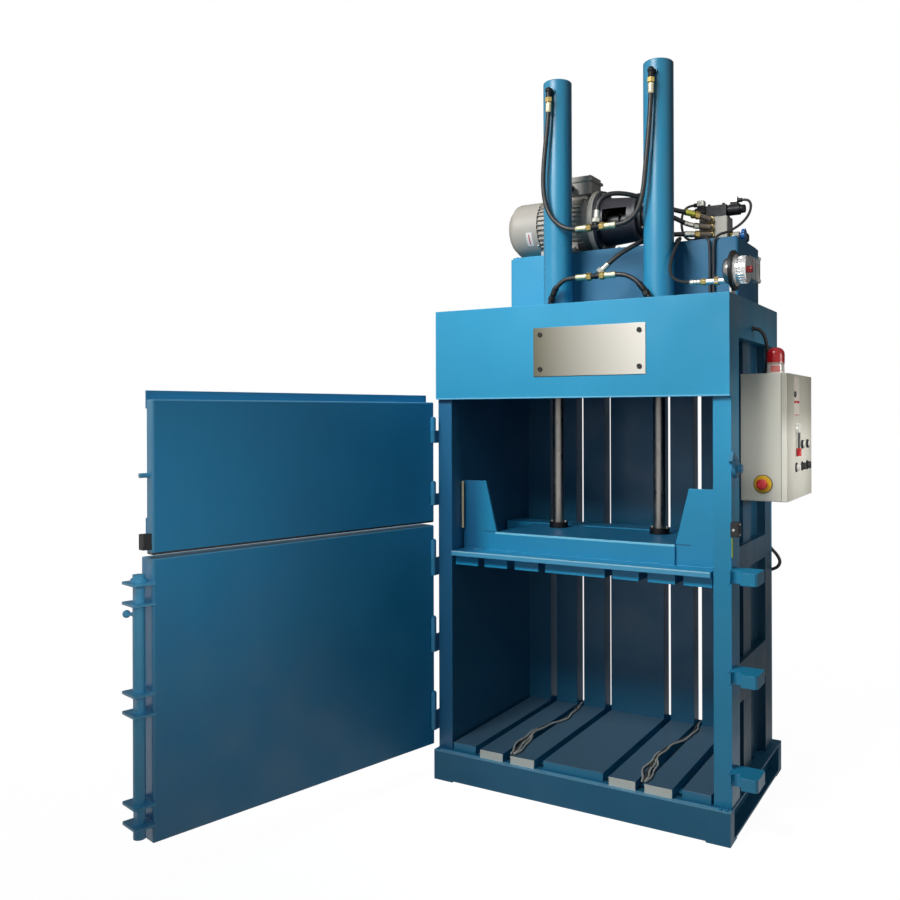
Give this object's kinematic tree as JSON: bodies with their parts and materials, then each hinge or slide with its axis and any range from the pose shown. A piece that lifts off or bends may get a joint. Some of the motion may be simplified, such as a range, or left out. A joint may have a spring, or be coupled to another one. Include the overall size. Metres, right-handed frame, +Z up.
{
  "type": "vertical recycling baler",
  "caption": "Upright twin-cylinder hydraulic press for baling waste, with a ribbed platen, split front doors swung open, strap slots, a rooftop power pack and a side control cabinet.",
  "frame": {"origin": "centre of the base footprint at floor level", "axes": "+Z up, -Y towards the operator at the front, +X to the machine's right where the control cabinet is"},
  "size_m": [1.8204, 2.1537, 3.008],
  "materials": {
    "light_blue_paint": "semi-gloss enamel",
    "dark_blue_paint": "semi-gloss enamel, shaded inner faces",
    "door_blue_paint": "semi-gloss enamel",
    "grey_paint": "satin light grey",
    "navy_paint": "satin dark",
    "dark_grey_paint": "satin",
    "rod_chrome": "polished hard chrome",
    "black_oxide": "black oxide",
    "zinc_steel": "zinc plated",
    "polished_steel": "polished",
    "black_rubber": "smooth hose cover",
    "black_plastic": "matt",
    "rope_fibre": "twisted strapping twine",
    "yellow_plastic": "gloss",
    "red_plastic": "gloss",
    "clear_plastic": "gloss",
    "white_plastic": "gloss",
    "blue_plastic": "gloss"
  },
  "bodies": {
    "frame": {"base_frame": "light_blue_paint", "floor_deck": "light_blue_paint", "right_side_wall": "dark_blue_paint", "left_side_wall": "dark_blue_paint", "back_wall": "dark_blue_paint", "header_frame": "light_blue_paint", "cylinder_barrel_right": "light_blue_paint", "cylinder_barrel_left": "light_blue_paint", "cylinder_elbows": "zinc_steel", "hinge_pins": "zinc_steel", "lock_keepers": "light_blue_paint", "door_switch": "black_plastic", "oil_tank": "light_blue_paint", "tank_lid": "light_blue_paint", "level_gauge": "polished_steel", "motor_body": "grey_paint", "motor_fan_cover": "grey_paint", "motor_terminal_box": "grey_paint", "bell_housing": "navy_paint", "hydraulic_pump": "dark_grey_paint", "valve_manifold": "grey_paint", "directional_valve": "black_oxide", "upper_hose_tee": "zinc_steel", "lower_hose_tee": "zinc_steel", "pressure_gauge": "polished_steel", "control_cabinet": "grey_paint", "emergency_stop_collar": "yellow_plastic", "beacon_base": "clear_plastic", "beacon_lens": "red_plastic", "top_hose_left": "black_rubber", "top_hose_right": "black_rubber", "bottom_hose_left": "black_rubber", "bottom_hose_right": "black_rubber", "raise_hose": "black_rubber", "lower_hose": "black_rubber", "pump_hose": "black_rubber", "gauge_hose": "black_rubber", "left_coil_cable": "black_plastic", "right_coil_cable": "black_plastic", "cabinet_cable": "black_plastic", "switch_cable": "black_plastic", "left_floor_rope": "rope_fibre", "right_floor_rope": "rope_fibre"},
    "platen_group": {"platen": "light_blue_paint", "piston_rod_right": "rod_chrome", "piston_rod_left": "rod_chrome", "rod_collars": "black_oxide"},
    "upper_door_group": {"upper_door": "door_blue_paint", "door_switch_actuator": "black_plastic"},
    "lower_door_group": {"lower_door": "door_blue_paint"},
    "lock_bar_group": {"lock_bar": "door_blue_paint"},
    "latch_group": {"upper_latch": "light_blue_paint"},
    "cabinet_door_group": {"cabinet_door": "grey_paint"},
    "isolator_group": {"isolator_handle": "white_plastic"},
    "start_button_group": {"start_button": "white_plastic"},
    "stop_button_group": {"stop_button": "black_plastic"},
    "raise_button_group": {"raise_button": "black_plastic"},
    "emergency_stop_group": {"emergency_stop_head": "red_plastic"},
    "relief_wheel_group": {"relief_wheel": "blue_plastic"},
    "rotor_group": {"motor_rotor": "zinc_steel"}
  },
  "joints": [
    {"name": "platen_slide", "type": "slide", "parent": "frame", "child": "platen_group", "axis": [0, 0, 1], "range_m": [-0.37, 0.55]},
    {"name": "upper_door_hinge", "type": "hinge", "parent": "frame", "child": "upper_door_group", "pos_m": [-0.638, -0.406, 0], "axis": [0, 0, 1], "range_deg": [-56, 103.9]},
    {"name": "lower_door_hinge", "type": "hinge", "parent": "frame", "child": "lower_door_group", "pos_m": [-0.638, -0.406, 0], "axis": [0, 0, 1], "range_deg": [-56, 103.9]},
    {"name": "lock_bar_turn", "type": "hinge", "parent": "lower_door_group", "child": "lock_bar_group", "pos_m": [-0.96973, -1.65488, 0.6], "axis": [0, 0, 1], "range_deg": [0, 90]},
    {"name": "latch_turn", "type": "hinge", "parent": "frame", "child": "latch_group", "pos_m": [0.64, -0.372, 1.35], "axis": [1, 0, 0], "range_deg": [-40, 32]},
    {"name": "cabinet_door_hinge", "type": "hinge", "parent": "frame", "child": "cabinet_door_group", "pos_m": [0.75115, 0.3448, 1.4575], "axis": [0, 0, 1], "range_deg": [0, 110]},
    {"name": "isolator_turn", "type": "hinge", "parent": "cabinet_door_group", "child": "isolator_group", "pos_m": [0.78, 0.023, 1.49], "axis": [1, 0, 0], "range_deg": [0, 90]},
    {"name": "start_press", "type": "slide", "parent": "cabinet_door_group", "child": "start_button_group", "axis": [-1, 0, 0], "range_m": [0, 0.005], "stiffness_N_per_m": 500},
    {"name": "stop_press", "type": "slide", "parent": "cabinet_door_group", "child": "stop_button_group", "axis": [-1, 0, 0], "range_m": [0, 0.005], "stiffness_N_per_m": 500},
    {"name": "raise_press", "type": "slide", "parent": "cabinet_door_group", "child": "raise_button_group", "axis": [-1, 0, 0], "range_m": [0, 0.005], "stiffness_N_per_m": 500},
    {"name": "emergency_stop_press", "type": "slide", "parent": "frame", "child": "emergency_stop_group", "axis": [0, 1, 0], "range_m": [0, 0.006]},
    {"name": "relief_turn", "type": "hinge", "parent": "frame", "child": "relief_wheel_group", "pos_m": [0.507, 0.26, 2.3123], "axis": [1, 0, 0], "range_deg": [-180, 180]},
    {"name": "rotor_turn", "type": "hinge", "parent": "frame", "child": "rotor_group", "pos_m": [-0.3, 0.262, 2.4303], "axis": [1, 0, 0], "continuous": true}
  ]
}
